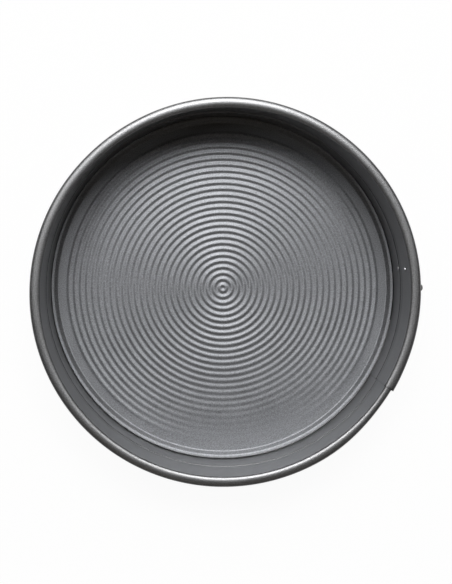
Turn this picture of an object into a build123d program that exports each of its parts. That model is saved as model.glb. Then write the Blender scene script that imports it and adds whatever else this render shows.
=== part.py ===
"""Round springform cake tin: a ribbed loose base inside a sprung sheet band, which an
over-centre lever clamp draws shut.

Millimetres, +Z up. The origin is the middle of the base's underside, on the surface that
the tin stands on. The clamp is at +X and the band's back at -X. Plan angles are in
degrees, anticlockwise from +X seen from above. The band's two ends overlap near the
clamp: the lever end lies inside and the catch end outside.
"""

import os
from math import acos, asin, atan2, cos, degrees, radians, sin, sqrt, tan

from build123d import *

# Band
cavity_radius = 115.0  # inside of the lower wall
tin_height = 68.0
band_sheet = 0.5
wall_step_level = 28.0  # where the wall starts to step outwards
wall_step_out = 0.8
wall_step_rise = 1.2
rim_radius = 2.8  # outside of the rolled rim
hem_radius = 1.3  # outside of the rolled bottom hem
curl_gap = 0.3  # between a curl's end and the wall

# Overlap of the band's ends
layer_gap = 0.25
tongue_end_angle = -30.5  # where the inner layer stops
tongue_gap = 0.4  # over the outer layer's hem
hem_end_gap = 1.0  # between the two ends of the hem
outer_layer_end_y = -22.2
open_curl_angle = 255.0  # sweep of the tongue's rim, open underneath
nested_rim_radius = 1.9  # the outer layer's rim, where it lies inside the tongue's
pinch_start_angle = -64.0  # where that rim starts to narrow
pinch_end_angle = -37.0
pinch_steps = 6

# Base
base_sheet = 0.6
rib_pitch = 4.04
rib_gap = 1.1  # flat between two ribs
rib_height = 0.45
base_flat_radius = 110.0
outer_flat_width = 4.8  # smooth ring outside the ribs
riser_run = 2.0
base_fit = 0.5  # lip to wall
hem_gap = 0.2  # hem to lip

# Clamp, with its lever pivot and catch placed from the upper wall
clamp_level = 35.5  # height of its middle
pivot_stand_off = 7.6
pivot_y = 2.4
crank_out = -2.4  # from the lever's pivot to the bail's
crank_along = 8.7
catch_stand_off = 3.9
catch_y = -24.2
plate_sheet = 1.2
plate_height = 33.0
plate_gap = 0.05  # wall to plate
plate_margin = 6.0  # plate past its rivets
lever_rivet_y = 14.2
catch_rivet_y = -33.4
rivet_spacing = 21.0
rivet_radius = 1.5
rivet_head_radius = 2.5
rivet_head_height = 1.0
rivet_tip_height = 0.25  # the lever plate's rivets stand this far into the cavity
press_gap = 0.03

# Lever
lever_height = 16.0
lever_sheet = 1.3
hub_radius = 3.75
lug_radius = 2.3
handle_gap = 3.4  # wall to handle
handle_end_angle = 22.0
flare_radius = 14.0
flare_angle = 40.0
tip_radius = 1.1
pin_radius = 1.5
ear_sheet = 1.6
ear_radius = 3.6
ear_gap = 0.2  # hub to ear
running_gap = 0.06

# Bail and catch
wire_radius = 0.9
bail_bend = 2.0
bail_rise = 11.0  # each side wire from the clamp's middle
ridge_radius = 1.1
ridge_height = 16.0
hook_gap = 0.4  # ridge to far wire
hook_lift = 0.3  # far wire outside the ridge's middle

overrun = 1.0  # how far each cut runs past its solid

# Sizes worked out
wall_outer = cavity_radius + band_sheet
upper_inner = cavity_radius + wall_step_out
upper_outer = upper_inner + band_sheet
layer_shift = band_sheet + layer_gap
plate_inner = upper_outer + plate_gap
plate_middle = plate_inner + plate_sheet / 2
plate_outer = plate_inner + plate_sheet
lip_radius = cavity_radius - base_fit
lip_underside = 2 * hem_radius + hem_gap
rib_count = int((base_flat_radius - outer_flat_width) / rib_pitch)
handle_radius = upper_outer + handle_gap + lever_sheet / 2
ear_reach = lever_height / 2 + ear_gap + ear_sheet
pivot = Vector(upper_outer + pivot_stand_off, pivot_y)
bail_pivot = pivot + Vector(crank_out, crank_along)
ridge = Vector(upper_outer + catch_stand_off, catch_y)
far_wire = ridge + Vector(hook_lift, -ridge_radius - hook_gap - wire_radius)


def plan_angle(y, radius):
    """The plan angle at which a circle about the origin reaches this y."""
    return degrees(asin(y / radius))


outer_layer_end_angle = plan_angle(outer_layer_end_y, upper_outer)
tongue_root_angle = plan_angle(outer_layer_end_y + hem_end_gap, upper_outer)


def turned(profile, start, end, centre_x=0):
    """A (radius, height) profile swept about a Z axis from one plan angle to another."""
    solid = revolve(Plane.XZ * profile, Axis.Z, end - start)
    return Pos(centre_x, 0, 0) * Rot(0, 0, start) * solid


def outline(*lines):
    """A face inside lines and arcs that meet end to end."""
    return make_face([edge for line in lines for edge in line.edges()])


def closed_curl(radius):
    """The sweep that brings a curl of band sheet back to its wall, less the curl gap."""
    reach = radius - band_sheet - curl_gap
    return 360 - degrees(acos(reach / radius))


def band_profile(rim=rim_radius, rim_sweep=None, hemmed=True):
    """The band's sheet: the stepped wall with its rolled rim, and its hem or a plain edge."""
    rim_middle = (upper_inner + rim, tin_height - rim_radius)
    rim_sweep = rim_sweep or closed_curl(rim)
    rim_outside = CenterArc(rim_middle, rim, 180, -rim_sweep)
    rim_inside = CenterArc(rim_middle, rim - band_sheet, 180, -rim_sweep)
    foot = hem_radius if hemmed else 2 * hem_radius + tongue_gap
    step_top = wall_step_level + wall_step_rise
    lines = [rim_outside, rim_inside, Line(rim_outside @ 1, rim_inside @ 1)]
    for low_radius, top_radius, curl in (
        (cavity_radius, upper_inner, rim_outside),
        (wall_outer, upper_outer, rim_inside),
    ):
        step_foot = (low_radius, wall_step_level)
        lines.append(Polyline((low_radius, foot), step_foot, (top_radius, step_top), curl @ 0))
    if hemmed:
        hem_middle = (wall_outer - hem_radius, hem_radius)
        hem_sweep = closed_curl(hem_radius)
        hem_outside = CenterArc(hem_middle, hem_radius, 0, -hem_sweep)
        hem_inside = CenterArc(hem_middle, hem_radius - band_sheet, 0, -hem_sweep)
        lines += [hem_outside, hem_inside, Line(hem_outside @ 1, hem_inside @ 1)]
    else:
        lines.append(Line((cavity_radius, foot), (wall_outer, foot)))
    return outline(*lines)


def band_back():
    """The half of the band away from the clamp."""
    return turned(band_profile(), 90, 270)


def band_lever_end():
    """The quarter with the lever, whose inner layer runs on as a tongue with no hem."""
    main = turned(band_profile(), tongue_root_angle, 90)
    tongue_profile = band_profile(rim_sweep=open_curl_angle, hemmed=False)
    tongue = turned(tongue_profile, tongue_end_angle, tongue_root_angle)
    return main + tongue - rivet_holes(lever_rivet_y)


def band_catch_end():
    """The quarter with the catch. It is struck from a centre one layer further out, and
    its rim narrows in small steps until it lies inside the tongue's."""
    past_seam = degrees(2 * layer_shift / cavity_radius)
    angles = [-90 - past_seam]
    rims = []
    for step in range(pinch_steps + 1):
        share = step / pinch_steps
        angles.append(pinch_start_angle + share * (pinch_end_angle - pinch_start_angle))
        rims.append(rim_radius + share * (nested_rim_radius - rim_radius))
    angles[-1] = outer_layer_end_angle
    shell = Part()
    for start, end, rim in zip(angles, angles[1:], rims):
        shell += turned(band_profile(rim=rim), start, end, layer_shift)
    size = 2 * (wall_outer + tin_height)
    behind_seam = Box(size, size, size, align=(Align.MAX, Align.CENTER, Align.CENTER))
    return shell - behind_seam - rivet_holes(catch_rivet_y, layer_shift)


def base_profile():
    """The base's sheet: ribs and a smooth ring, then a riser up to the lip on the hem."""
    slope = atan2(lip_underside, riser_run)
    lines = []
    for level, mitre in ((0, base_sheet * tan(slope / 2)), (base_sheet, 0)):
        reached = 0
        for rib in range(rib_count):
            start = rib * rib_pitch + rib_gap / 2
            end = (rib + 1) * rib_pitch - rib_gap / 2
            crest = ((start + end) / 2, level + rib_height)
            lines.append(Line((reached, level), (start, level)))
            lines.append(ThreePointArc((start, level), crest, (end, level)))
            reached = end
        riser_foot = (base_flat_radius + mitre, level)
        riser_head = (base_flat_radius + mitre + riser_run, level + lip_underside)
        lip_edge = (lip_radius, level + lip_underside)
        lines.append(Polyline((reached, level), riser_foot, riser_head, lip_edge))
    lines.append(Line((0, 0), (0, base_sheet)))
    lines.append(Line((lip_radius, lip_underside), (lip_radius, lip_underside + base_sheet)))
    return outline(*lines)


def base_plate():
    """The loose base, lifted out or pushed up through the band."""
    return turned(base_profile(), 0, 360)


def rivet_places(y, centre_x):
    """Both rivets of a plate, as planes at the Z axis that look out through the wall."""
    angle = radians(plan_angle(y, upper_outer))
    outwards = (cos(angle), sin(angle), 0)
    for side in (-1, 1):
        middle = (centre_x, 0, clamp_level + side * rivet_spacing / 2)
        yield Plane(origin=middle, x_dir=(0, 0, 1), z_dir=outwards)


def upright(radius, height):
    """A cylinder that starts at its plane."""
    return Cylinder(radius, height, align=(Align.CENTER, Align.CENTER, Align.MIN))


def rivet_holes(y, centre_x=0):
    """Holes for both rivets, through the wall and the plate."""
    start = cavity_radius - overrun
    hole = upright(rivet_radius + press_gap, plate_outer + overrun - start)
    return Part() + [place.offset(start) * hole for place in rivet_places(y, centre_x)]


def rivet_head():
    """A shallow dome with a flat underside."""
    sphere = (rivet_head_radius**2 + rivet_head_height**2) / (2 * rivet_head_height)
    below = sphere - rivet_head_height
    edge_angle = degrees(atan2(below, rivet_head_radius))
    dome = CenterArc((0, -below), sphere, edge_angle, 90 - edge_angle)
    half = outline(dome, Line(dome @ 1, (0, 0)), Line((0, 0), dome @ 0))
    return revolve(Plane.XZ * half, Axis.Z, 360)


def rivets(y, tip_height, centre_x=0):
    """Both rivets of a plate: a head outside, and a plain end that shows in the cavity."""
    made = Part()
    for place in rivet_places(y, centre_x):
        wall_inner = upper_inner if place.origin.Z > wall_step_level else cavity_radius
        start = wall_inner - tip_height
        shank = upright(rivet_radius, plate_outer - start)
        made += place.offset(start) * shank + place.offset(plate_outer) * rivet_head()
    return made


def wall_plate(low_angle, high_angle, centre_x=0):
    """A plate that follows the wall's outside."""
    section = Pos(plate_middle, clamp_level) * Rectangle(plate_sheet, plate_height)
    return turned(section, low_angle, high_angle, centre_x)


def plan_solid(face, height, level=clamp_level):
    """A plan face made solid, half above the level and half below."""
    return Pos(0, 0, level - height / 2) * extrude(face, height)


def disc(centre, radius):
    """A plan circle."""
    return Pos(centre.X, centre.Y) * Circle(radius)


def block(low, high):
    """A plan rectangle between two corners."""
    middle = (low + high) / 2
    size = high - low
    return Pos(middle.X, middle.Y) * Rectangle(size.X, size.Y)


def lever_bracket():
    """The plate on the lever end, with an ear above and below the lever's hub."""
    low = plan_angle(pivot_y - ear_radius - plate_sheet, plate_inner)
    high = plan_angle(lever_rivet_y + plate_margin, plate_inner)
    ear_foot = Vector(plate_middle, pivot_y - ear_radius)
    ear = block(ear_foot, pivot + Vector(0, ear_radius)) + disc(pivot, ear_radius)
    ear -= disc(pivot, pin_radius + press_gap)
    bracket = wall_plate(low, high)
    for side in (-1, 1):
        bracket += plan_solid(ear, ear_sheet, clamp_level + side * (ear_reach - ear_sheet / 2))
    return bracket - rivet_holes(lever_rivet_y)


def lever_pin():
    """The pin through both ears, filed flush so that the bail swings past it."""
    return plan_solid(disc(pivot, pin_radius), 2 * ear_reach)


def bent_strip(centre, radius, start, sweep):
    """The plan of a stretch of the lever's sheet, bent to an arc."""
    outside = CenterArc(centre, radius + lever_sheet / 2, start, sweep)
    inside = CenterArc(centre, radius - lever_sheet / 2, start, sweep)
    return outline(outside, inside, Line(inside @ 0, outside @ 0), Line(inside @ 1, outside @ 1))


def clamp_lever():
    """The lever: a hub on the pin, a lug for the bail, and a handle along the wall that
    flares to its tip."""
    crank = bail_pivot - pivot
    crank_middle = (pivot + bail_pivot) / 2
    crank_angle = degrees(atan2(crank.Y, crank.X))
    arm = Rot(0, 0, crank_angle) * SlotCenterToCenter(crank.length, 2 * lug_radius)
    lug_angle = degrees(atan2(bail_pivot.Y, bail_pivot.X))
    handle = bent_strip((0, 0), handle_radius, lug_angle, handle_end_angle - lug_angle)
    end = Rot(0, 0, handle_end_angle) * Pos(handle_radius + flare_radius, 0)
    flare = end * bent_strip((0, 0), flare_radius, 180, -flare_angle)
    tip_place = end * Rot(0, 0, 180 - flare_angle) * Pos(flare_radius, 0)
    plan = disc(pivot, hub_radius) + Pos(crank_middle.X, crank_middle.Y) * arm
    plan += [handle, flare, tip_place * Circle(tip_radius)]
    plan -= disc(pivot, pin_radius + running_gap)
    plan -= disc(bail_pivot, wire_radius + running_gap)
    return plan_solid(plan, lever_height)


def clamp_bail():
    """The bail: a ring of wire through the lever's lug that hooks behind the catch."""
    reach = far_wire - bail_pivot
    flat = Plane(
        origin=(bail_pivot.X, bail_pivot.Y, clamp_level),
        x_dir=(reach.X, reach.Y, 0),
        z_dir=(-reach.Y, reach.X, 0),
    )
    corners = [(0, -bail_rise), (reach.length, -bail_rise), (reach.length, bail_rise), (0, bail_rise)]
    path = flat * FilletPolyline(*corners, radius=bail_bend, close=True)
    section = Plane(origin=path @ 0, z_dir=path % 0) * Circle(wire_radius)
    return sweep(section, path)


def lever_bracket_rivets():
    """The rivets whose bright ends show inside, below and above the wall's step."""
    return rivets(lever_rivet_y, rivet_tip_height)


def catch_bracket():
    """The plate on the catch end, with a web out to the ridge that the bail hooks behind."""
    low = plan_angle(catch_rivet_y - plate_margin, plate_inner)
    web_edge = catch_y + plate_sheet / 2
    high = plan_angle(web_edge, plate_inner)
    web_start = layer_shift + sqrt(plate_middle**2 - catch_y**2)
    web = block(Vector(web_start, web_edge - plate_sheet), Vector(ridge.X, web_edge))
    hook = plan_solid(web + disc(ridge, ridge_radius), ridge_height)
    return wall_plate(low, high, layer_shift) + hook - rivet_holes(catch_rivet_y, layer_shift)


def catch_bracket_rivets():
    """The rivets that end flush inside, because the tongue slides over them."""
    return rivets(catch_rivet_y, 0, layer_shift)


nodes = [
    base_plate,
    band_back,
    band_lever_end,
    band_catch_end,
    lever_bracket,
    lever_bracket_rivets,
    lever_pin,
    clamp_lever,
    clamp_bail,
    catch_bracket,
    catch_bracket_rivets,
]

os.makedirs("parts", exist_ok=True)
for node in nodes:
    solid = node()
    export_step(solid, f"parts/{node.__name__}.step")
    print(f"{node.__name__}: {len(solid.solids())} solid(s), {solid.volume:.1f} mm3")
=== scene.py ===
# %% [markdown]
# # A springform cake tin, dressed for the camera
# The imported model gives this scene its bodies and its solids: a loose base, a band in
# three jointed stretches, and a lever clamp. The scene keeps their places and sizes and
# replaces each solid with a finer surface. Everything is in metres, +Z up, with the
# origin under the middle of the base and the clamp at +X.

# %% Load the frame and keep its size
from math import atan2, cos, degrees, pi, radians, sin

import bmesh
import bpy
import numpy as np
from mathutils import Matrix, Vector


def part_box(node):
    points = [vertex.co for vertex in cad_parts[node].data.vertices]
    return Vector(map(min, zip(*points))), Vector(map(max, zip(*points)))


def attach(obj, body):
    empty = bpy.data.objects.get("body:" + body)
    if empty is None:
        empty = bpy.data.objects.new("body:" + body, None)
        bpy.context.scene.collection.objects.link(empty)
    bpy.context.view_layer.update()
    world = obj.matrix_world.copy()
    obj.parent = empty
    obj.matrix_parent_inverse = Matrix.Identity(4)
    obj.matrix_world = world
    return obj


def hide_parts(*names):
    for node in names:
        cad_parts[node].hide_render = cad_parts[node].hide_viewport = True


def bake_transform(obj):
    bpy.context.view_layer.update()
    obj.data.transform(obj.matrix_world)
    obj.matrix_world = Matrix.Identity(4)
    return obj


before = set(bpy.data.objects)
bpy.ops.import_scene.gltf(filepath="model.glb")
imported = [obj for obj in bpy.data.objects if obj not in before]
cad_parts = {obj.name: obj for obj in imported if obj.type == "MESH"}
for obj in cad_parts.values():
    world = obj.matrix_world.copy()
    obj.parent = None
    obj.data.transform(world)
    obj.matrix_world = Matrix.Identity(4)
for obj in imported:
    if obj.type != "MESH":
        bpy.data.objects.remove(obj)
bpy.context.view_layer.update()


# %% [markdown]
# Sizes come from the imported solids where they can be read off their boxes. The rest are
# the real sizes of pressed and rolled sheet, in millimetres, and `MM` turns them into
# metres where a mesh is made.

# %% Sizes that every piece shares
MM = 0.001
BASE_LOW, BASE_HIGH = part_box("base_plate")
BACK_LOW, BACK_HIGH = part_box("band_back")
TIN_HEIGHT = BACK_HIGH.z / MM
RIM_OUTER = BACK_HIGH.y / MM
LIP_RADIUS = BASE_HIGH.x / MM
SHEET = 0.5
RIM_RADIUS = 2.8
HEM_RADIUS = 1.3
HEM_HEIGHT = 1.7
UPPER_INNER = RIM_OUTER - 2 * RIM_RADIUS
STEP_OUT = 0.8
LOWER_INNER = UPPER_INNER - STEP_OUT
LAYER_SHIFT = 0.75
print(f"rim {RIM_OUTER:.2f}, wall {LOWER_INNER:.2f}, lip {LIP_RADIUS:.2f}, height {TIN_HEIGHT:.2f} mm")


# %% [markdown]
# Every new piece is a grid of points worked out at once with numpy. Rows follow one
# parameter and columns the other, and `weave` joins neighbours into four-sided faces. A
# closed grid then gets its normals turned outwards, so that it can be lit, printed or
# simulated as a solid.

# %% Turning grids of points into pieces
def weave(rows, columns, ring_rows=False, ring_columns=False):
    """Quads between neighbours of a rows x columns grid; a ring joins its last to its first."""
    row = np.arange(rows if ring_rows else rows - 1)
    column = np.arange(columns if ring_columns else columns - 1)
    a, b = np.meshgrid(row, column, indexing="ij")
    after_a, after_b = (a + 1) % rows, (b + 1) % columns
    corners = [a * columns + b, after_a * columns + b, after_a * columns + after_b, a * columns + after_b]
    return np.stack(corners, axis=-1).reshape(-1, 4)


def piece(name, points, faces, body, slot, stands_for=(), sharp=40):
    """A mesh object in the shared frame, smooth except at edges sharper than the given angle."""
    mesh = bpy.data.meshes.new(name)
    mesh.from_pydata((np.asarray(points).reshape(-1, 3) * MM).tolist(), [], [list(face) for face in faces])
    shell = bmesh.new()
    shell.from_mesh(mesh)
    bmesh.ops.remove_doubles(shell, verts=shell.verts, dist=1e-7)
    bmesh.ops.recalc_face_normals(shell, faces=shell.faces)
    shell.to_mesh(mesh)
    shell.free()
    mesh.shade_smooth()
    mesh.set_sharp_from_angle(angle=radians(sharp))
    made = bpy.data.objects.new(name, mesh)
    bpy.context.scene.collection.objects.link(made)
    if body:
        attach(made, body)
    if stands_for:
        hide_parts(*stands_for)
    print(f"{name}: {len(mesh.polygons)} faces")
    return made


def smooth(low, high, value):
    """0 below low, 1 above high, and 3t² - 2t³ between."""
    t = np.clip((value - low) / (high - low), 0, 1)
    return t * t * (3 - 2 * t)


# %% [markdown]
# The base is one pressed sheet. From the middle out it has round-topped ribs, a smooth
# ring, a riser and a flat lip. A lathe profile suits it: the height is a function of the
# radius, and of the plan angle only where the ribs fade on one side. The ribs are a raised
# cosine, which is what a soft sheet does over a rounded die.

# %% The height of the base
RIB_PITCH = 4.04
RIB_COUNT = 26
RIB_HEIGHT = 0.385
BASE_SHEET = 0.6
RISER_START, RISER_END, RISER_BEND = 109.9, 113.5, 0.26
LIP_RISE = 1.75
LIP_SLOPE = 0.14
BASE_OFF_CENTRE = 0.4
CALM_TURN, CALM_WIDTH, CALM_CORE = 282.0, 74.0, 14.06
CALM_RADIUS, CALM_GROWTH, CALM_SHARE = 90.0, 1.6, 0.93
WARP_RISE, WARP_START, WARP_TOP, WARP_FALL = 0.5, 60.0, 100.0, 0.25
LIP_BEND = 0.3


def base_height(radius, turn):
    """Rib height times (1 - cos(2 pi radius / pitch)) / 2, less towards the calm side's edge,
    then a riser: a straight slope between two parabolas that bend it out of the flat. The lip
    beyond it climbs slightly. The sheet warps up by half a millimetre on its calm side."""
    from_calm = np.degrees(np.abs((turn - radians(CALM_TURN) + pi) % (2 * pi) - pi))
    near_calm = smooth(CALM_WIDTH, CALM_CORE, from_calm)
    calm = near_calm * np.minimum(radius / CALM_RADIUS, 1) ** CALM_GROWTH
    swell = smooth(WARP_START, WARP_TOP, radius) - WARP_FALL * smooth(WARP_TOP, RISER_START, radius)
    warp = WARP_RISE * near_calm * swell
    ribs = RIB_HEIGHT * (1 - CALM_SHARE * calm) * (1 - np.cos(2 * pi * radius / RIB_PITCH)) / 2
    ribs = ribs * (radius < RIB_COUNT * RIB_PITCH)
    climb = np.clip((radius - RISER_START) / (RISER_END - RISER_START), 0, 1)
    bend, rest = RISER_BEND, 1 - climb
    whole = 2 * bend * (1 - bend)
    upper = np.where(rest < bend, whole - rest**2, (2 * climb - bend) * bend)
    riser = LIP_RISE * np.where(climb < bend, climb**2, upper) / whole
    return ribs + warp + riser + LIP_SLOPE * np.maximum(radius - RISER_END + LIP_BEND, 0)


print(f"{RIB_COUNT} ribs of {RIB_HEIGHT} mm, {RIB_PITCH} mm apart, and a lip {LIP_RISE} mm up")

# %% [markdown]
# The sheet needs an underside too, because the base can be lifted out and looked at. The
# top gets eight points to a rib and the underside four, since it is seen less. The pole is
# a tiny hole closed by one cap, which is tidier than hundreds of slivers in one point.

# %% The base
POLE_RADIUS = 0.02
LIP_ROUND = 0.15


def base_piece(turns=224, rib_points=8, under_points=4):
    """The lathe surface: radius and height by column, plan angle by row, top side then underside.

    The loose base lies a little off the band's middle, as it does when dropped in."""
    ribs_end = RIB_COUNT * RIB_PITCH
    outside = np.concatenate([
        [ribs_end + 1.5, RISER_START - 1.0, RISER_START - 0.2],
        np.linspace(RISER_START, RISER_END, 23),
        [LIP_RADIUS - 0.3, LIP_RADIUS - 0.08, LIP_RADIUS],
    ])
    top = np.concatenate([np.linspace(POLE_RADIUS, ribs_end, RIB_COUNT * rib_points + 1), outside])
    under = np.concatenate([np.linspace(POLE_RADIUS, ribs_end, RIB_COUNT * under_points + 1), outside])
    turn = np.linspace(0, 2 * pi, turns, endpoint=False)[:, None]
    top_level = base_height(top, turn) + BASE_SHEET
    top_level[:, -1] -= LIP_ROUND
    under_level = base_height(under, turn)
    under_level[:, -1] += LIP_ROUND
    radius = np.concatenate([top, under[::-1]])
    level = np.concatenate([top_level, under_level[:, ::-1]], axis=1)
    y = radius * np.sin(turn) + BASE_OFF_CENTRE
    points = np.stack([radius * np.cos(turn), y, level], axis=-1)
    count = len(radius)
    faces = weave(turns, count, ring_rows=True).tolist()
    faces.append([row * count for row in range(turns)])
    faces.append([row * count + count - 1 for row in range(turns)])
    return piece("base_sheet", points, faces, "base", "coated_sheet", ["base_plate"])


base_sheet = base_piece()

# %% [markdown]
# A used band is never quite round. Its rim is a slight oval with one soft dent, and the
# wall follows it only near the top, because the base keeps the bottom in shape.

# %% How far the rim is out of round
WAVE_LEVELS = 46, 62
OVAL, OVAL_TURN = 0.5, 33
DENT, DENT_TURN, DENT_WIDTH = 0.4, 125, 22
RIM_SHRINK = 0.25


def waviness(turn):
    """Oval times the cosine of twice the angle, less a bell-shaped dent and a small shrink."""
    oval = OVAL * np.cos(2 * np.radians(turn - OVAL_TURN))
    off_dent = (turn - DENT_TURN + 180) % 360 - 180
    return oval - DENT * np.exp(-((off_dent / DENT_WIDTH) ** 2)) - RIM_SHRINK


all_round = waviness(np.arange(-180, 180))
print(f"the rim is from {all_round.min():.2f} to {all_round.max():.2f} mm off the round one")

# %% [markdown]
# The band is a strip of sheet whose cross-section is a line: a hem rolled inwards, the
# lower wall, a step, the upper wall and a rim rolled outwards. The strip is that line
# given a thickness and carried round. Its two halves meet at the back, away from the
# clamp, where the sheet doesn't bend. Each half is one unbroken surface.

# %% The band's cross-section
STEP_LEVEL, STEP_RISE = 28.0, 6.0
LEDGE_SHARE, LEDGE_RISE = 0.5, 0.045
BEAD_TOP, BEAD_BELOW = 1.35, 2.5
LEAN_START = 60.5
PINCH_DROP, PINCH_ABOVE, PINCH_BELOW = 0.4, 0.25, 1.1


def arc(middle_r, middle_z, half_width, above, below, start, sweep, count):
    """Points on half-ellipses: one half height above the middle and another below it."""
    angle = np.radians(start + sweep[:, None] * np.linspace(0, 1, count))
    height = np.where(np.sin(angle) > 0, above[:, None], below[:, None])
    return middle_r[:, None] + half_width[:, None] * np.cos(angle), middle_z[:, None] + height * np.sin(angle)


def section(turn, inner, outer, sink, rim_sweep, hem_sweep, foot, out):
    """The sheet's middle line for each plan angle: hem arc, wall with its step, flattened rim roll.

    Each argument has one value per plan angle: the rim's inner and outer edge, how far it is
    pinched down, the two sweeps, the height of the wall's foot and its shift outwards."""
    half = SHEET / 2
    ones = np.ones_like(turn)
    low = LOWER_INNER + half + out
    high = low + STEP_OUT
    hem = (HEM_RADIUS - half) * ones
    tall = (HEM_HEIGHT / 2 - half) * ones
    hem_r, hem_z = arc(low + half - HEM_RADIUS, foot, hem, tall, tall, 0, -hem_sweep, 16)
    lower_z = foot[:, None] + (STEP_LEVEL - foot[:, None]) * np.concatenate([
        np.linspace(0.06, 0.92, 6), np.linspace(0.95, 1.0, 3)
    ])
    lower_r = low[:, None] + 0 * lower_z
    rise = np.concatenate([np.linspace(0.004, 0.041, 5), np.linspace(0.06, 0.94, 9)])
    step_z = STEP_LEVEL + STEP_RISE * rise + 0 * ones[:, None]
    step = LEDGE_SHARE * smooth(0, LEDGE_RISE, rise) + (1 - LEDGE_SHARE) * smooth(0, 1, rise)
    step_r = low[:, None] + STEP_OUT * step
    rim_z = TIN_HEIGHT - BEAD_TOP - PINCH_DROP * sink
    start_z = STEP_LEVEL + STEP_RISE
    upper_z = np.concatenate([
        start_z + (LEAN_START - start_z) * np.linspace(0.02, 1, 6) + 0 * ones[:, None],
        LEAN_START + (rim_z[:, None] - LEAN_START) * np.linspace(0.12, 0.97, 8),
    ], axis=1)
    lean = smooth(LEAN_START, rim_z[:, None] - 0.1, upper_z)
    upper_r = high[:, None] + (inner + half - high)[:, None] * lean
    above = BEAD_TOP - PINCH_ABOVE * sink - half
    below = BEAD_BELOW - PINCH_BELOW * sink - half
    rim_middle, rim_half = (inner + outer) / 2, (outer - inner) / 2 - half
    rim_r, rim_h = arc(rim_middle, rim_z, rim_half, above, below, 180, -rim_sweep, 40)
    radius = np.concatenate([hem_r[:, ::-1], lower_r, step_r, upper_r, rim_r], axis=1)
    height = np.concatenate([hem_z[:, ::-1], lower_z, step_z, upper_z, rim_h], axis=1)
    return radius + waviness(turn)[:, None] * smooth(*WAVE_LEVELS, height), height


# %% [markdown]
# The sheet's thickness is added last: half a sheet to each side of its middle line. The
# closed outline is then carried round the Z axis, one copy to each plan angle, and both
# ends are closed across the sheet, so that the strip is a solid.

# %% From a middle line to a solid strip
def thicken(radius, height):
    """The closed outline half a sheet to each side of each middle line, along its normals."""
    along_r, along_z = np.gradient(radius, axis=1), np.gradient(height, axis=1)
    length = np.hypot(along_r, along_z) + 1e-9
    across_r, across_z = -along_z / length * SHEET / 2, along_r / length * SHEET / 2
    outline_r = np.concatenate([radius - across_r, (radius + across_r)[:, ::-1]], axis=1)
    outline_z = np.concatenate([height - across_z, (height + across_z)[:, ::-1]], axis=1)
    return outline_r, outline_z


def carried(turn, outline_r, outline_z):
    """The outlines set round the Z axis, as points and faces, with both ends closed."""
    angle = np.radians(turn)[:, None]
    points = np.stack([outline_r * np.cos(angle), outline_r * np.sin(angle), outline_z], axis=-1)
    rows, columns = outline_r.shape
    side = np.arange(columns // 2 - 1)
    end = np.stack([side, side + 1, columns - 2 - side, columns - 1 - side], axis=-1)
    faces = weave(rows, columns, ring_columns=True).tolist()
    return points, faces + end.tolist() + (end + (rows - 1) * columns).tolist()


# %% [markdown]
# The lever half lies inside the catch half. Past the clamp its hem stops, and only its
# wall and its rim run on as a tongue. The rim opens there to take the other half's. An
# attribute marks the tongue's cut edge for painted shade, which stands in for the shadow between the two
# layers.

# %% The half with the lever
TONGUE_END = -30.5
TONGUE_ROOT = -10.9
TONGUE_FLARE = 0.25
# How far past the tongue's end the painted shade reaches, in degrees, from none to full.
CUT_SHADE = 0.75, 0.2
HEM_SWEEP = 292.0
RIM_SWEEP = 305.0
OPEN_SWEEP = 255.0
FOOT = HEM_HEIGHT / 2
TONGUE_FOOT = 3.0
RIM_INNER = 115.0


def turns_between(start, end, step, cuts=()):
    """Even plan angles from start to end, with a pair of close ones at each cut."""
    angles = np.linspace(start, end, int(abs(end - start) / step) + 1)
    close = [cut + offset for cut in cuts for offset in (-0.02, 0.02)]
    return np.sort(np.concatenate([angles, close]))


def lever_half():
    """Full hem back of the tongue's root, none on the tongue, and a rim that opens there."""
    turn = turns_between(TONGUE_END, 180, 0.75, [TONGUE_ROOT])
    constant = 0 * turn
    on_tongue = turn < TONGUE_ROOT
    hem_sweep = np.where(on_tongue, 0.5, HEM_SWEEP)
    foot = np.where(on_tongue, TONGUE_FOOT, FOOT)
    opened = smooth(TONGUE_ROOT + 6, TONGUE_ROOT, turn)
    rim_sweep = RIM_SWEEP + (OPEN_SWEEP - RIM_SWEEP) * opened
    flare = TONGUE_FLARE * smooth(TONGUE_END + 9, TONGUE_END, turn)
    inner, outer = constant + RIM_INNER, RIM_OUTER + flare
    lines = section(turn, inner, outer, constant, rim_sweep, hem_sweep, foot, constant)
    points, faces = carried(turn, *thicken(*lines))
    half = piece("band_lever_half", points, faces, None, "coated_sheet")
    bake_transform(half)
    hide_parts("band_back", "band_lever_end")
    places = np.empty(3 * len(half.data.vertices), np.float32)
    half.data.vertices.foreach_get("co", places)
    plan_angle = np.degrees(np.arctan2(places[1::3], places[0::3]))
    # Painted shade: a narrow band at the tongue's cut edge is marked to be darkened, for the shadow between
    # the layers.
    shade = smooth(TONGUE_END + CUT_SHADE[0], TONGUE_END + CUT_SHADE[1], plan_angle)
    painted_cut_shade = half.data.attributes.new("painted_cut_shade", "FLOAT", "POINT")
    painted_cut_shade.data.foreach_set("value", shade.astype(np.float32))
    return half


band_lever_half = lever_half()

# %% [markdown]
# The catch half lies one layer further out towards the clamp. Its rim is pinched there, so
# that it slides into the tongue's rim as the clamp draws the band shut.

# %% The half with the catch
CATCH_END = -11.0
NESTED_INNER, NESTED_OUTER = 115.65, 120.25
PINCH_TURNS = -60, -34
SHIFT_TURNS = -100, -70


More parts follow.
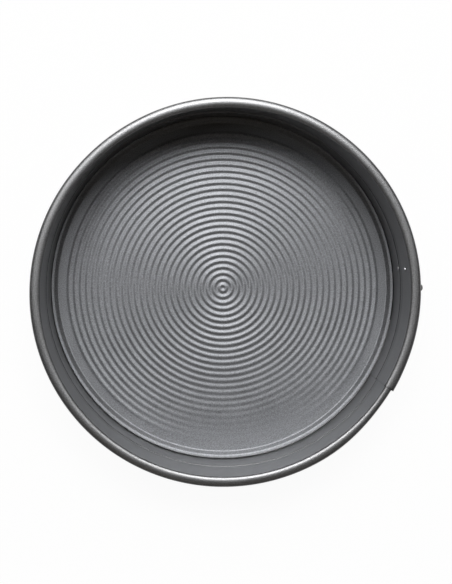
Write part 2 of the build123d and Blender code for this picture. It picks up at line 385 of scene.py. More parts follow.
def catch_half():
    """One layer further out towards the clamp, with its rim pinched until it fits in the tongue's."""
    turn = turns_between(-180, CATCH_END, 0.75)
    constant = 0 * turn
    out = LAYER_SHIFT * np.cos(np.radians(turn)) * smooth(*SHIFT_TURNS, turn)
    pinch = smooth(*PINCH_TURNS, turn)
    inner = RIM_INNER + (NESTED_INNER - RIM_INNER) * pinch
    outer = RIM_OUTER + (NESTED_OUTER - RIM_OUTER) * pinch
    rim_sweep, hem_sweep = constant + RIM_SWEEP, constant + HEM_SWEEP
    lines = section(turn, inner, outer, pinch, rim_sweep, hem_sweep, constant + FOOT, out)
    points, faces = carried(turn, *thicken(*lines))
    half = piece("band_catch_half", points, faces, None, "coated_sheet")
    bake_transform(half)
    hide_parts("band_back", "band_catch_end")
    return half


band_catch_half = catch_half()

# %% [markdown]
# The clamp is bent from strip and wire. A strip is a rounded rectangle carried along a
# path: the path gives its bends, and its width and thickness may change on the way, which
# makes round corners, beads and tapered ends. One function serves plates, ears and lever.

# %% A strip bent along a path
def lengths(path):
    """Distance travelled at each point of a path: the running sum of its steps."""
    return np.concatenate([[0], np.cumsum(np.linalg.norm(np.diff(path, axis=0), axis=1))])


def strip(path, across, half_width, half_sheet, press=None, edge=0.3, flat_points=13):
    """Rounded rectangles along a path: width lies along across, thickness along its normal.

    press gives how far the sheet is pushed along its normal, from the place along the path
    and the place across it."""
    path = np.asarray(path, float)
    across = np.asarray(across, float)
    along = np.gradient(path, axis=0)
    along /= np.linalg.norm(along, axis=1, keepdims=True)
    normal = np.cross(along, across)
    count = len(path)
    width = np.broadcast_to(half_width, count)[:, None]
    sheet = np.broadcast_to(half_sheet, count)[:, None]
    round_by = np.minimum(edge, 0.98 * sheet)
    flat = np.linspace(1, -1, flat_points)[None, :]
    quarter = np.linspace(0, pi / 2, 4)[None, :]
    outer_w, outer_n = flat * (width - round_by), sheet + 0 * flat
    corner_w = -(width - round_by) - round_by * np.sin(quarter)
    corner_n = (sheet - round_by) + round_by * np.cos(quarter)
    half_w = np.concatenate([outer_w, corner_w, corner_w[:, ::-1]], axis=1)
    half_n = np.concatenate([outer_n, corner_n, -corner_n[:, ::-1]], axis=1)
    ring_w = np.concatenate([half_w, -half_w], axis=1)
    ring_n = np.concatenate([half_n, -half_n], axis=1)
    if press is not None:
        ring_n = ring_n + press(lengths(path)[:, None], ring_w)
    points = path[:, None] + ring_n[..., None] * normal[:, None] + ring_w[..., None] * across
    columns = points.shape[1]
    faces = weave(count, columns, ring_columns=True).tolist()
    faces += [list(range(columns)), [(count - 1) * columns + i for i in range(columns)]]
    return points, faces


def end_rounding(length, places, radius):
    """How much to take off so that both ends are quarter rounds of this radius.

    Given twice the real length, it rounds the end that the places are measured from alone."""
    to_end = np.minimum(places, length - places)
    inside = np.clip(radius - to_end, 0, radius)
    return radius - np.sqrt(np.maximum(radius**2 - inside**2, 0))


def crowded(length, count):
    """Places from 0 to length, closer together at both ends."""
    return length * (1 - np.cos(np.linspace(0, pi, count))) / 2


# %% [markdown]
# A plate is riveted to each end of the band and follows the wall's curve. Both are strips
# on a circle about the tin's middle, with their points crowded towards the ends, where the
# corners are round. The places of the pivots and the catch come from the real linkage.

# %% Where the clamp's pieces are
CLAMP_LEVEL = 35.5
PIVOT = np.array([123.9, 2.4])
BAIL_PIVOT = np.array([121.5, 11.1])
RIDGE = np.array([120.2, -24.2])
FAR_WIRE = np.array([120.5, -26.6])
PLATE_SHEET = 1.2
PLATE_HEIGHT = 33.0
PLATE_MIDDLE = RIM_OUTER - 2 * RIM_RADIUS + SHEET + 0.05 + PLATE_SHEET / 2
PLATE_CORNER, PLATE_EDGE = 3.5, 0.3
UP = (0, 0, 1)


def wall_path(low_y, high_y, centre_x, count):
    """Points on a circle about the band's middle between two levels of Y."""
    low, high = np.arcsin(low_y / PLATE_MIDDLE), np.arcsin(high_y / PLATE_MIDDLE)
    turn = low + crowded(high - low, count)
    x, y = PLATE_MIDDLE * np.cos(turn), PLATE_MIDDLE * np.sin(turn)
    return np.stack([centre_x + x, y, 0 * turn + CLAMP_LEVEL], axis=-1)


# %% [markdown]
# The lever's plate carries two ears, and the pin goes across them. An ear is a strip that
# runs straight out of the plate. Its width follows a circle about the pin at the far end
# and spreads at the root, as a bent ear does.

# %% The lever's plate
EAR_SHEET = 1.6
EAR_MIDDLE = 9.0
EAR_RADIUS = 2.7
EAR_ROOT, EAR_ROOT_END = 116.9, 119.4
EAR_SPREAD, EAR_SPREAD_REACH = 1.4, 1.9
EAR_EDGE, EAR_TIP_SQUARED = 0.35, 0.03
LEVER_PLATE_ENDS = -2.4, 20.2


def lever_plate():
    """A plate with round corners, and two ears whose outline ends in a circle about the pin."""
    path = wall_path(*LEVER_PLATE_ENDS, 0, 41)
    places = lengths(path)
    width = PLATE_HEIGHT / 2 - end_rounding(places[-1], places, PLATE_CORNER)
    sheet = PLATE_SHEET / 2 - end_rounding(places[-1], places, PLATE_EDGE)
    points, faces = strip(path, UP, width, sheet)
    points, faces = points.reshape(-1, 3), list(faces)
    for side in (-1, 1):
        reach = PIVOT[0] + EAR_RADIUS - EAR_ROOT
        x = EAR_ROOT + crowded(reach, 41)
        past = np.clip(x - PIVOT[0], 0, EAR_RADIUS)
        root = np.clip((EAR_ROOT_END - x) / EAR_SPREAD_REACH, 0, 1)
        width = np.sqrt(np.maximum(EAR_RADIUS**2 - past**2, EAR_TIP_SQUARED))
        width = width + EAR_SPREAD * (1 - np.sqrt(1 - root**2))
        sheet = EAR_SHEET / 2 - end_rounding(reach, x - EAR_ROOT, EAR_EDGE) * (x > PIVOT[0])
        ear = np.stack([x, 0 * x + PIVOT[1], 0 * x + CLAMP_LEVEL + side * EAR_MIDDLE], axis=-1)
        more, ear_faces = strip(ear, (0, 1, 0), width, sheet)
        faces += [[i + len(points) for i in face] for face in ear_faces]
        points = np.concatenate([points, more.reshape(-1, 3)])
    return piece("lever_plate", points, faces, "lever_end", "clamp_steel", ["lever_bracket"])


lever_plate_piece = lever_plate()

# %% [markdown]
# The catch's plate turns outwards into a web with a bead at its edge, and the bail hooks
# behind that bead. Plate, bend and web are one path, so the sheet is whole. Its thickness
# swells to a circle at the bead, and its width narrows where it leaves the wall.

# %% The catch's plate
BEAD_RADIUS, BEAD_TIP = 1.1, 0.03
WEB_HALF_WIDTH = 8
WEB_START, WEB_BEND, WEB_BEND_CENTRE = 116.3, 1.2, (116.14, -25.4)
NARROW_BEFORE, NARROW_AFTER = 5.5, 0.4
CATCH_PLATE_ENDS = -39.4, -25.15


def polar(radius, degrees_round, centre=(0, 0)):
    """Plan points from radii and plan angles about a centre."""
    turn = np.radians(degrees_round)
    return np.stack([centre[0] + radius * np.cos(turn), centre[1] + radius * np.sin(turn)], axis=-1)


def catch_plate():
    """Along the wall, round a bend and straight out, ending in a bead like a drop."""
    wall = wall_path(*CATCH_PLATE_ENDS, LAYER_SHIFT, 31)
    bend = polar(WEB_BEND, np.linspace(168, 90, 13), WEB_BEND_CENTRE)[1:]
    out = WEB_START + crowded(RIDGE[0] + BEAD_RADIUS - WEB_START, 31)
    web = np.stack([out, 0 * out + RIDGE[1]], axis=-1)
    flat = np.concatenate([wall[:, :2], bend, web])
    path = np.concatenate([flat, np.full((len(flat), 1), CLAMP_LEVEL)], axis=1)
    places = lengths(path)
    at_bend = places[len(wall) - 1]
    narrowing = smooth(at_bend - NARROW_BEFORE, at_bend + NARROW_AFTER, places)
    width = PLATE_HEIGHT / 2 - (PLATE_HEIGHT / 2 - WEB_HALF_WIDTH) * narrowing
    width = width - end_rounding(2 * places[-1], places, PLATE_CORNER)
    bead = np.sqrt(np.maximum(BEAD_RADIUS**2 - (path[:, 0] - RIDGE[0]) ** 2, BEAD_TIP**2))
    sheet = np.where(path[:, 0] > RIDGE[0], bead, np.maximum(bead, PLATE_SHEET / 2))
    sheet = sheet - end_rounding(2 * places[-1], places, PLATE_EDGE)
    return piece("catch_plate", *strip(path, UP, width, sheet), "catch_end", "clamp_steel", ["catch_bracket"])


catch_plate_piece = catch_plate()

# %% [markdown]
# The lever is one strip. It is rolled once round the pin, runs along the wall as a handle
# with a pressed stiffening bead, and flares out to a thick lip for a finger. Its path has
# four stretches, and they meet in direction as well as in place, so no crease shows.

# %% The lever's path
LEVER_SHEET = 1.06
LEVER_HEIGHT = 16.0
HANDLE_RADIUS = 120.35
HANDLE_END = 22.0
FLARE_RADIUS = 14.0
FLARE_ANGLE = 40.0
ROLL_RADIUS, ROLL_SWEEP = 2.10, 318
HANDLE_START = 5.6
SLIDE_PULL = 9.5
TIP_ANGLE = 9.0


def lever_path():
    """A spiral about the pin, a slide over to the handle's circle, that circle, and the flare."""
    turn = np.linspace(180 + ROLL_SWEEP, 180, 73)
    roll = polar(ROLL_RADIUS, turn, PIVOT)
    leave = roll[-1]
    land = polar(HANDLE_RADIUS, HANDLE_START)
    share = np.linspace(0, 1, 17)[1:-1, None]
    slope_a, slope_b = np.array([0, SLIDE_PULL]), SLIDE_PULL * polar(1, HANDLE_START + 90)
    slide = (
        (2 * share**3 - 3 * share**2 + 1) * leave + (share**3 - 2 * share**2 + share) * slope_a
        + (3 * share**2 - 2 * share**3) * land + (share**3 - share**2) * slope_b
    )
    handle = polar(HANDLE_RADIUS, np.linspace(HANDLE_START, HANDLE_END, 61))
    centre = polar(HANDLE_RADIUS + FLARE_RADIUS, HANDLE_END)
    tip_start = FLARE_ANGLE - TIP_ANGLE
    bend = np.concatenate([np.linspace(0, tip_start, 21)[1:], tip_start + crowded(2 * TIP_ANGLE, 41)[1:] / 2])
    flare = polar(FLARE_RADIUS, HANDLE_END + 180 - bend, centre)
    plan = np.concatenate([roll, slide, handle, flare])
    return np.concatenate([plan, np.full((len(plan), 1), CLAMP_LEVEL)], axis=1)


# %% [markdown]
# The strip is carried along that path. Width and thickness follow the distance travelled,
# and the pressed bead is a push along the sheet's normal that fades on an oval.

# %% The lever
WAIST_DEPTH, WAIST_FROM, WAIST_TO = 0.8, (46, 34), (6, 16)
TIP_CORNER, TIP_ROUND = 4.0, 0.98
TIP_BEAD, TIP_BEAD_REACH = 0.5, (2.6, 1.2)
PRESS_HEIGHT, PRESS_REACH, PRESS_WIDTH = 0.45, 13.0, 2.8


def lever():
    """The strip: narrower along the handle, round at the tip, with an oval bead pressed outwards."""
    path = lever_path()
    places = lengths(path)
    total = places[-1]
    from_tip = total - places
    waist = smooth(total - WAIST_FROM[0], total - WAIST_FROM[1], places) * smooth(*WAIST_TO, from_tip)
    width = LEVER_HEIGHT / 2 - WAIST_DEPTH * waist - end_rounding(2 * total, from_tip, TIP_CORNER)
    bead = TIP_BEAD * smooth(*TIP_BEAD_REACH, from_tip)
    sheet = LEVER_SHEET / 2 + bead - end_rounding(2 * total, from_tip, TIP_ROUND)
    middle = total - 2 * PRESS_REACH

    def press(place, across):
        """A ridge that fades to nothing where the squares of both distances add up to one."""
        oval = ((place - middle) / PRESS_REACH) ** 2 + (across / PRESS_WIDTH) ** 2
        return PRESS_HEIGHT * smooth(1.0, 0.25, oval)

    points, faces = strip(path, UP, width, sheet, press, flat_points=33)
    return piece("lever_strip", points, faces, "lever", "clamp_steel", ["clamp_lever"])


lever_strip = lever()

# %% [markdown]
# A saddle strip spot-welded over the lever holds the bail's wire. It lies flat at both ends
# and rises over the wire between, so its radius is a smooth step on each side.

# %% The saddle
SADDLE_LENGTH, SADDLE_MARGIN = 9.6, 0.5
SADDLE_HALF_SHEET = 0.45
SADDLE_OVER_WIRE, SADDLE_CLIMB = 1.42, (2.55, 0.6)
SADDLE_CORNER, SADDLE_EDGE = 1.2, 0.25


def saddle():
    """A strap at the lever's outer face that rises in an S on each side of the wire."""
    round_angle = degrees(atan2(BAIL_PIVOT[1], BAIL_PIVOT[0]))
    ring = float(np.hypot(*BAIL_PIVOT))
    offset = crowded(SADDLE_LENGTH, 61) - SADDLE_LENGTH / 2
    low = HANDLE_RADIUS + LEVER_SHEET / 2 + SADDLE_HALF_SHEET
    rise = ring + SADDLE_OVER_WIRE - low
    radius = low + rise * smooth(*SADDLE_CLIMB, np.abs(offset))
    plan = polar(radius, round_angle + np.degrees(offset / ring))
    path = np.concatenate([plan, np.full((len(plan), 1), CLAMP_LEVEL)], axis=1)
    places = lengths(path)
    width = LEVER_HEIGHT / 2 - SADDLE_MARGIN - end_rounding(places[-1], places, SADDLE_CORNER)
    sheet = SADDLE_HALF_SHEET - end_rounding(places[-1], places, SADDLE_EDGE)
    return piece("lever_saddle", *strip(path, UP, width, sheet), "lever", "clamp_steel")


lever_saddle = saddle()

# %% [markdown]
# The bail is a ring of round wire. Its path is a rectangle with round corners, so the
# corner angle gives the points: each corner adds a quarter circle, and the straight runs
# follow by joining them. A tube of small circles along that path is the wire.

# %% The bail
WIRE_RADIUS = 0.9
BAIL_BEND = 2.0
BAIL_RISE = 11.0
WIRE_SIDES = 20


def wire_ring(along, rise, bend, corner_points=13, run_points=9):
    """A rounded rectangle in a plane: quarter circles at four corners, with points on each run."""
    turn = np.linspace(0, pi / 2, corner_points)
    corners = []
    for x, z, start in ((along, rise, 0), (0, rise, pi / 2), (0, -rise, pi), (along, -rise, 3 * pi / 2)):
        inner = np.array([x - bend if x else bend, z - bend if z > 0 else z + bend])
        corners.append(inner + bend * np.stack([np.cos(start + turn), np.sin(start + turn)], axis=-1))
    loop = []
    for i, corner in enumerate(corners):
        following = corners[(i + 1) % 4][0]
        share = np.linspace(0, 1, run_points + 2)[1:-1, None]
        loop += [corner, corner[-1] * (1 - share) + following * share]
    return np.concatenate(loop)


def bail():
    """Circles of wire about each point of the ring, in the plane of the path's normal and its own."""
    reach = FAR_WIRE - BAIL_PIVOT
    length = float(np.hypot(*reach))
    heading = np.array([*(reach / length), 0])
    sideways = np.array([-heading[1], heading[0], 0])
    flat = wire_ring(length, BAIL_RISE, BAIL_BEND)
    start = np.array([*BAIL_PIVOT, CLAMP_LEVEL])
    path = start + flat[:, :1] * heading + flat[:, 1:] * np.array(UP)
    along = np.roll(path, -1, axis=0) - np.roll(path, 1, axis=0)
    along /= np.linalg.norm(along, axis=1, keepdims=True)
    across = np.cross(along, sideways)
    turn = np.linspace(0, 2 * pi, WIRE_SIDES, endpoint=False)[None, :, None]
    points = path[:, None] + WIRE_RADIUS * (np.cos(turn) * sideways + np.sin(turn) * across[:, None])
    faces = weave(len(path), WIRE_SIDES, ring_rows=True, ring_columns=True)
    return piece("bail_wire", points, faces, "bail", "clamp_steel", ["clamp_bail"])


bail_wire = bail()

# %% [markdown]
# The pin and the rivets are turned shapes. One lathe function makes them all: a profile of
# radii and distances goes round an axis, and a cap closes each pole. The pin's ends have a
# small round, as cut rod has after tumbling.

# %% The pin
PIN_RADIUS = 1.5
PIN_EDGE = 0.3
PIN_FACE = [0.01, 0.6]


def lathe(profile, base, axis, side, turns=32):
    """A (radius, distance) profile turned about an axis from a base point, with closed ends."""
    profile = np.asarray(profile, float)
    base, axis, side = (np.asarray(v, float) for v in (base, axis, side))
    other = np.cross(axis, side)
    turn = np.linspace(0, 2 * pi, turns, endpoint=False)[:, None, None]
    spoke = np.cos(turn) * side + np.sin(turn) * other
    points = base + profile[None, :, :1] * spoke + profile[None, :, 1:] * axis
    count = len(profile)
    faces = weave(turns, count, ring_rows=True).tolist()
    faces += [[row * count for row in range(turns)], [row * count + count - 1 for row in range(turns)]]
    return points.reshape(-1, 3), faces


def pin():
    """A rod with a small round at each end."""
    half = EAR_MIDDLE + EAR_SHEET / 2
    turn = np.linspace(0, pi / 2, 5)
    cap_r, cap_z = PIN_RADIUS - PIN_EDGE + PIN_EDGE * np.sin(turn), PIN_EDGE - PIN_EDGE * np.cos(turn)
    radius = np.concatenate([PIN_FACE, cap_r, cap_r[::-1], PIN_FACE[::-1]])
    height = np.concatenate([[0, 0], cap_z, 2 * half - cap_z[::-1], [2 * half, 2 * half]])
    profile = np.stack([radius, height], axis=-1)
    return piece("hinge_pin", *lathe(profile, (*PIVOT, CLAMP_LEVEL - half), UP, (1, 0, 0)),
                 "lever_end", "clamp_steel", ["lever_pin"])


hinge_pin = pin()

# %% [markdown]
# Each plate has two rivets. Their heads are low domes on the plate, and their ends stand a
# little out of the wall inside the tin, where they catch the light. The catch's rivets end
# flush, because the other half of the band slides over them.

# %% The rivets
RIVET_RADIUS = 1.5
RIVET_HEAD = (2.5, 1.0)
HEAD_EDGE, HEAD_CHAMFER = 0.25, 0.08
RIVET_POLE = 0.01
RIVET_SPACING = 21.0
LEVER_RIVET_Y, LEVER_RIVET_TIPS, LEVER_RIVET_ROUND = 14.2, (0.35, 0.62), 0.24
CATCH_RIVET_Y, CATCH_RIVET_TIPS, CATCH_RIVET_ROUND = -33.4, (0.0, 0.0), 0.12


def rivet_profile(start, tip_round):
    """From the inner end outwards: a slightly rounded end, the shank, then a flat-bottomed dome."""
    head_radius, head_height = RIVET_HEAD
    head_start = PLATE_MIDDLE + PLATE_SHEET / 2
    turn = np.linspace(0, pi / 2, 4)
    tip_r = RIVET_RADIUS - tip_round + tip_round * np.sin(turn)
    tip_d = start + tip_round - tip_round * np.cos(turn)
    share = np.linspace(0, 1, 11)
    dome_r = head_radius * np.cos(share * pi / 2)
    dome_d = head_start + HEAD_EDGE + (head_height - HEAD_EDGE) * np.sin(share * pi / 2)
    shoulder_r = [RIVET_RADIUS, head_radius - HEAD_CHAMFER, head_radius]
    shoulder_d = [head_start, head_start, head_start + HEAD_CHAMFER]
    radius = np.concatenate([[RIVET_POLE, 0.8], tip_r, shoulder_r, dome_r[1:-1], [RIVET_POLE]])
    reach = np.concatenate([[start - 0.04, start - 0.02], tip_d, shoulder_d, dome_d[1:]])
    return np.stack([radius, reach], axis=-1)


def rivet_pair(name, y, centre_x, tips, tip_round, body, node):
    """Two rivets of one plate, the lower first, each standing this far out of the wall inside."""
    turn = np.arcsin(y / (UPPER_INNER + SHEET))
    axis = (cos(turn), sin(turn), 0)
    points, faces = np.zeros((0, 3)), []
    for side, wall, tip in ((-1, LOWER_INNER, tips[0]), (1, UPPER_INNER, tips[1])):
        level = CLAMP_LEVEL + side * RIVET_SPACING / 2
        more, pair_faces = lathe(rivet_profile(wall - tip, tip_round), (centre_x, 0, level), axis, UP)
        faces += [[i + len(points) for i in face] for face in pair_faces]
        points = np.concatenate([points, more])
    return piece(name, points, faces, body, "rivet_metal", [node])


lever_rivets = rivet_pair("lever_rivets", LEVER_RIVET_Y, 0, LEVER_RIVET_TIPS,
                          LEVER_RIVET_ROUND, "lever_end", "lever_bracket_rivets")
catch_rivets = rivet_pair("catch_rivets", CATCH_RIVET_Y, LAYER_SHIFT, CATCH_RIVET_TIPS,
                          CATCH_RIVET_ROUND, "catch_end", "catch_bracket_rivets")

# %% [markdown]
# Shader maths reads best as ordinary sums. `Wire` wraps a node's output, and adding or
# multiplying two of them adds the Math node that does it. The reflected forms let a plain
# number stand first, as in 1 - mask.

# %% Sums of node outputs
class Wire:
    """A number that varies over a surface; sums and products of wires add Math nodes."""

    def __init__(self, finish, socket):
        self.finish = finish
        self.socket = socket

    def combined(self, operation, first, second):
        """The Math node that works out one operation on two values."""
        return self.finish.node("ShaderNodeMath", {"operation": operation}, [first, second])["Value"]

    def __add__(self, other):
        return self.combined("ADD", self, other)

    def __sub__(self, other):
        return self.combined("SUBTRACT", self, other)

    def __rsub__(self, other):
        return self.combined("SUBTRACT", other, self)

    def __mul__(self, other):
        return self.combined("MULTIPLY", self, other)

    def larger(self, other):
        """The larger of the two at each place."""
        return self.combined("MAXIMUM", self, other)

    __radd__ = __add__
    __rmul__ = __mul__


# %% [markdown]
# `Finish` makes a material and its nodes, with one method for every kind of node. The rest
# of its methods are short names for the few nodes that these finishes share.

# %% A small language for finishes
# The Mix node has its sockets A and B once for each kind of value. These are the colours'.
FIRST_COLOUR, SECOND_COLOUR = 6, 7


class Finish:
    """A material whose nodes are made by node() and whose shader takes named values or wires."""

    def __init__(self, name):
        self.material = bpy.data.materials.new(name)
        self.material.use_nodes = True
        self.tree = self.material.node_tree
        self.shader = self.tree.nodes["Principled BSDF"]

    def node(self, kind, settings=(), inputs=()):
        """Add a node: its settings first, then its inputs by name or by place. Gives its outputs."""
        made = self.tree.nodes.new(kind)
        for key, value in dict(settings).items():
            setattr(made, key, value)
        pairs = inputs.items() if isinstance(inputs, dict) else enumerate(inputs)
        for key, value in pairs:
            self.join(made.inputs[key], value)
        return {output.name: Wire(self, output) for output in made.outputs if output.enabled}

    def join(self, target, value):
        """Link a wire to a socket, or set the socket's own value."""
        if isinstance(value, Wire):
            self.tree.links.new(value.socket, target)
        else:
            target.default_value = value

    def place(self):
        """Object coordinates, in metres."""
        return self.node("ShaderNodeTexCoord")["Object"]

    def noise(self, size_mm, detail=3.0, stretch=(1, 1, 1)):
        """Noise with features of about this size, stretched along the axes."""
        spot = self.node("ShaderNodeMapping", {}, {"Vector": self.place(), "Scale": stretch})["Vector"]
        inputs = {"Vector": spot, "Scale": 1 / (size_mm * MM), "Detail": detail}
        return self.node("ShaderNodeTexNoise", {}, inputs)["Fac"]

    def mix(self, factor, first, second):
        """One colour, plain or wired, turning into another as the factor goes from 0 to 1."""
        ends = [end if isinstance(end, Wire) else (*end, 1) for end in (first, second)]
        inputs = {"Factor": factor, FIRST_COLOUR: ends[0], SECOND_COLOUR: ends[1]}
        return self.node("ShaderNodeMix", {"data_type": "RGBA"}, inputs)["Result"]

    def wear(self, **inputs):
        """Set the shader's own sockets."""
        for key, value in inputs.items():
            self.join(self.shader.inputs[key.replace("_", " ")], value)

    def bump(self, height, depth_mm):
        """A normal that shades a height field of this depth."""
        inputs = {"Height": height, "Distance": depth_mm * MM, "Strength": 1.0}
        return self.node("ShaderNodeBump", {}, inputs)["Normal"]

    def dress(self, *objects):
        """Give objects this material alone."""
        for one in objects:
            one.data.materials.clear()
            one.data.materials.append(self.material)


# %% [markdown]
# The tin is steel under a dark grey non-stick coat. The coat has fine metallic flakes, so
# it behaves like a dull dark metal with a broad highlight, and a slight grain breaks the
# highlight up. Patches of about two centimetres vary a little in roughness, as sprayed
# coats do. The band has a gloss over it, and the base is duller, as use and washing leave
# it. At the tongue's cut edge the coat is darkened with painted shade, for the shadow between the two layers.

# %% The coating
CLOUD_MM = 22.0
FLAKE_CONTRAST, FLAKE_LEVEL, CLOUD_TONE = 1.7, 0.4, 0.2
CLOUD_ROUGHNESS, GRAIN_ROUGHNESS = 0.08, 0.10
COAT_METAL = 0.92
# Painted shade: the near-black colour, and how fully it covers the tongue's cut edge.
PAINTED_SHADE_COLOUR, PAINTED_SHADE_STRENGTH = (0.01, 0.01, 0.01), 0.9


def coating(name, dark, light, roughness, gloss, gloss_roughness, grain_mm, grain_depth_mm):
    """Flaked dark grey coat: colour and roughness vary with noise, a grain bumps the normal, and painted
    shade darkens the tongue's cut edge.
    """
    finish = Finish(name)
    grain = finish.noise(grain_mm, detail=2.5)
    cloud = finish.noise(CLOUD_MM, detail=2.0)
    tone = (grain - 0.5) * FLAKE_CONTRAST + FLAKE_LEVEL + cloud * CLOUD_TONE
    # Painted shade: the stored attribute mixes the coat towards near black at the tongue's cut edge.
    painted_cut_shade = finish.node("ShaderNodeAttribute", {"attribute_name": "painted_cut_shade"})["Fac"]
    finish.wear(
        Base_Color=finish.mix(painted_cut_shade * PAINTED_SHADE_STRENGTH, finish.mix(tone, dark, light), PAINTED_SHADE_COLOUR),
        Metallic=COAT_METAL,
        Roughness=roughness + (cloud - 0.5) * CLOUD_ROUGHNESS + (grain - 0.5) * GRAIN_ROUGHNESS,
        Normal=finish.bump(grain, grain_depth_mm),
        Coat_Weight=gloss,
        Coat_Roughness=gloss_roughness,
    )
    return finish


base_coat = coating("base_coat", (0.108, 0.111, 0.118), (0.318, 0.327, 0.344),
                    roughness=0.49, gloss=0.0, gloss_roughness=0.3, grain_mm=0.6, grain_depth_mm=0.015)
band_coat = coating("band_coat", (0.112, 0.113, 0.116), (0.240, 0.242, 0.247),
                    roughness=0.39, gloss=1.0, gloss_roughness=0.33, grain_mm=0.8, grain_depth_mm=0.030)
base_coat.dress(base_sheet)
band_coat.dress(band_lever_half, band_catch_half)
print("coats", base_coat.material.name, band_coat.material.name)

# %% [markdown]
# The clamp's strip and wire are bright plated steel, and the rivets are softer, paler
# aluminium. Rolling and plating leave faint streaks along the strip and a slightly cloudy
# shine, so one noise is stretched along Z and another is left round.

# %% The bright metals
STREAK_MM, SMEAR_MM, STREAK_DEPTH_MM = 0.6, 6.0, 0.006
STREAK_TONE, SMEAR_TONE = 0.6, 0.4
STREAK_ROUGHNESS, SMEAR_ROUGHNESS = 0.08, 0.18
ALONG_Z = (1, 1, 0.12)


def bright(name, dark, light, roughness, streak=(1, 1, 1)):
    """Bare metal whose tone and roughness follow a streaked noise and a cloudy one."""
    finish = Finish(name)
    streaks = finish.noise(STREAK_MM, detail=2.0, stretch=streak)
    smear = finish.noise(SMEAR_MM, detail=2.0)
    finish.wear(
        Base_Color=finish.mix(streaks * STREAK_TONE + smear * SMEAR_TONE, dark, light),
        Metallic=1.0,
        Roughness=roughness + (smear - 0.5) * SMEAR_ROUGHNESS + (streaks - 0.5) * STREAK_ROUGHNESS,
        Normal=finish.bump(streaks, STREAK_DEPTH_MM),
    )
    return finish


plated_steel = bright("plated_steel", (0.42, 0.42, 0.43), (0.62, 0.62, 0.62), 0.27, ALONG_Z)
drawn_wire = bright("drawn_wire", (0.45, 0.45, 0.46), (0.64, 0.64, 0.65), 0.22)
rivet_aluminium = bright("rivet_aluminium", (0.70, 0.70, 0.71), (0.86, 0.86, 0.87), 0.30)
plated_steel.dress(lever_plate_piece, catch_plate_piece, lever_strip, lever_saddle)
drawn_wire.dress(bail_wire, hinge_pin)
rivet_aluminium.dress(lever_rivets, catch_rivets)
print("metals", *(metal.material.name for metal in (plated_steel, drawn_wire, rivet_aluminium)))

# %% [markdown]
# The tin is seen from almost straight above, through a long lens about three quarters of a
# metre over the rim. The camera stands a little towards the back and the left of the tin's
# axis, so more of the inside of the front and right walls shows. Its pose follows from
# where the rim and the base fall in the picture.

# %% The camera
CAMERA_PLACE = Vector((-0.0257, 0.0382, 0.8337))
CAMERA_TARGET = Vector((0.0021, -0.0024, 0.0))
FOCAL_LENGTH = 76.5
SENSOR = 36.0

camera_data = bpy.data.cameras.new("camera")
camera_data.lens = FOCAL_LENGTH
camera_data.sensor_width = SENSOR
camera = bpy.data.objects.new("camera", camera_data)
bpy.context.scene.collection.objects.link(camera)


def facing(back):
    """A rotation whose Z axis points back from what is looked at and whose X axis stays level."""
    right = Vector((0, 1, 0)).cross(back).normalized()
    return Matrix((right, back.cross(right), back)).transposed().to_4x4()


camera.matrix_world = Matrix.Translation(CAMERA_PLACE) @ facing((CAMERA_PLACE - CAMERA_TARGET).normalized())
bpy.context.scene.camera = camera
print("camera", [round(value, 4) for value in camera.matrix_world.translation])

# %% [markdown]
# A broad softbox high behind the tin gives the crescent of shadow that the far wall throws
# on the base, and the highlights on the ribs and the rim. A long board to the left, a small
# one to the right and a wide one low at the back fill the walls a little, and the wall in
# front gives a trace of warm light. Area lamps are used because their size sets how soft
# each highlight is.

# %% The lamps
LAMP_DISTANCE = 2.2
WHITE, WARM = (1.0, 1.0, 1.0), (1.0, 0.90, 0.78)
# Each lamp: how far across and behind per unit of height, its width and depth, power, colour.
LAMPS = {
    "softbox": (0.00, 0.43, 0.95, 0.60, 34.0, WHITE),
    "left_board": (-0.38, 0.34, 0.50, 1.00, 6.0, WHITE),
    "right_board": (0.56, 0.22, 0.50, 0.45, 1.7, WHITE),
    "back_board": (0.00, 0.95, 1.20, 0.60, 6.8, WHITE),
    "front_wall": (0.00, -0.75, 1.60, 0.60, 0.7, WARM),
}

for name, (across, behind, width, depth, power, colour) in LAMPS.items():
    lamp_data = bpy.data.lights.new(name, "AREA")
    lamp_data.shape = "RECTANGLE"
    lamp_data.size, lamp_data.size_y = width, depth
    lamp_data.energy, lamp_data.color = power, colour
    lamp = bpy.data.objects.new(name, lamp_data)
    bpy.context.scene.collection.objects.link(lamp)
    back = Vector((across, behind, 1)).normalized()
    lamp.matrix_world = Matrix.Translation(back * LAMP_DISTANCE) @ facing(back)
    print(f"{name}: {width} x {depth} m, {power} W")

# %% [markdown]
# The floor is a pale sheet. To the camera and in reflections it is plain white, by Light
# Path, while its own paint still takes the tin's shadow. So it adds no light to the tin.

# %% The floor
FLOOR_HALF = 3.0
FLOOR_LEVEL = -0.0002
FLOOR_GLOW = 0.95


def seen(finish):
    """1 for rays from the camera and for glossy and transmitted ones, 0 for diffuse light."""
    path = finish.node("ShaderNodeLightPath")
    return path["Is Camera Ray"].larger(path["Is Glossy Ray"]).larger(path["Is Transmission Ray"])


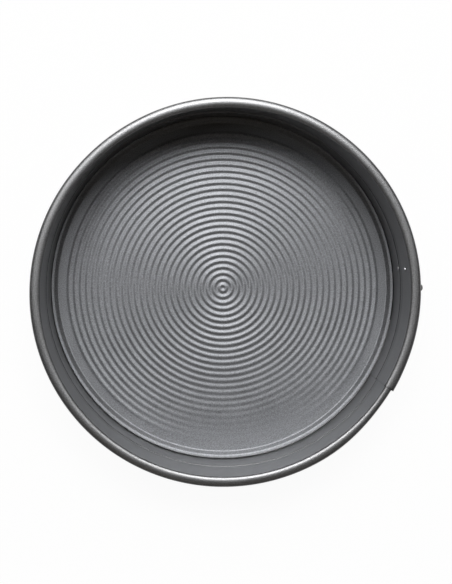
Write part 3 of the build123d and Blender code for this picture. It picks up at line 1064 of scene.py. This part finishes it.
floor_mesh = bpy.data.meshes.new("floor")
floor_mesh.from_pydata(
    [(x * FLOOR_HALF, y * FLOOR_HALF, FLOOR_LEVEL) for x, y in ((-1, -1), (1, -1), (1, 1), (-1, 1))],
    [], [(0, 1, 2, 3)],
)
floor = bpy.data.objects.new("floor", floor_mesh)
bpy.context.scene.collection.objects.link(floor)

floor_paint = Finish("floor_paint")
floor_paint.wear(Base_Color=(0.95, 0.95, 0.95, 1), Roughness=0.9)
glow = floor_paint.node("ShaderNodeEmission", {}, {"Color": (1, 1, 1, 1), "Strength": 1.0})
painted = Wire(floor_paint, floor_paint.shader.outputs["BSDF"])
shaders = [seen(floor_paint) * FLOOR_GLOW, painted, glow["Emission"]]
both = floor_paint.node("ShaderNodeMixShader", {}, shaders)
floor_paint.join(floor_paint.tree.nodes["Material Output"].inputs["Surface"], both["Shader"])
floor_paint.dress(floor)
print("floor", FLOOR_HALF * 2, "m wide")

# %% [markdown]
# The world is white near the horizon, where side views look past the floor, and nearly
# dark above it, as a studio's ceiling is. That dark keeps the walls' shaded side dark. A
# smooth ramp on the direction's height joins the two.

# %% The world
CEILING = (0.030, 0.026, 0.022)
HORIZON_LOW, HORIZON_HIGH = 0.10, 0.26
UNSEEN_SHARE = 0.3


class Sky(Finish):
    """The world's nodes, made with the same method as a finish's."""

    def __init__(self, name):
        self.world = bpy.data.worlds.new(name)
        self.world.use_nodes = True
        self.tree = self.world.node_tree
        self.shader = self.tree.nodes["Background"]


studio = Sky("studio")
bpy.context.scene.world = studio.world
direction = studio.node("ShaderNodeTexCoord")["Generated"]
height = studio.node("ShaderNodeSeparateXYZ", {}, [direction])["Z"]
ramp = {"interpolation_type": "SMOOTHSTEP"}
limits = {"Value": height, "From Min": HORIZON_HIGH, "From Max": HORIZON_LOW, "To Min": 0.0, "To Max": 1.0}
low_sky = studio.node("ShaderNodeMapRange", ramp, limits)["Result"]
lit = low_sky * (seen(studio) * (1 - UNSEEN_SHARE) + UNSEEN_SHARE)
studio.wear(Color=studio.mix(lit, CEILING, WHITE), Strength=1.0)
print("world", studio.world.name)

# %% [markdown]
# Standard view keeps colours as they are written.

# %% The view
bpy.context.scene.view_settings.view_transform = "Standard"
